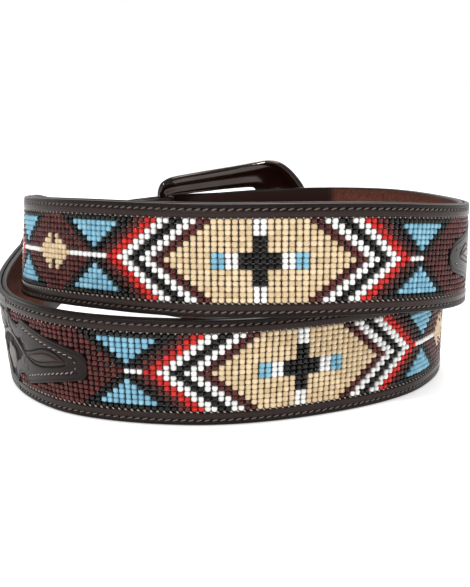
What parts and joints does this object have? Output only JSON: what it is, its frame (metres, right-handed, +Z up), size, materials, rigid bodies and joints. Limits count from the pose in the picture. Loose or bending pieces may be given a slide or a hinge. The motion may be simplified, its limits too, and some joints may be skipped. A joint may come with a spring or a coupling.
{
  "type": "beaded belt",
  "caption": "Leather belt with a loomed seed-bead inlay, tooled tongued billets and a metal frame buckle, fastened and doubled into a coil standing on edge.",
  "frame": {"origin": "middle of the coil's extent in plan, on the surface it rests on", "axes": "+Z up, across the belt's width; -Y towards the side where the upper turn crosses over the lower one, opposite the buckle; +X to the right seen from there"},
  "size_m": [0.1882, 0.1934, 0.0789],
  "materials": {
    "strap_leather": "matte rough flesh side",
    "face_leather": "satin dark brown, tooled and stitched",
    "seed_beads": "glossy",
    "buckle_metal": "polished dark metal",
    "thread": "twisted sewing and weaving thread, not in the solids"
  },
  "bodies": {
    "root": {"strap": "strap_leather", "border_upper": "face_leather", "border_lower": "face_leather", "bead_panel": "seed_beads", "billet_buckle_end": "face_leather", "billet_tip_end": "face_leather", "buckle_frame": "buckle_metal", "prong": "buckle_metal"}
  },
  "joints": []
}
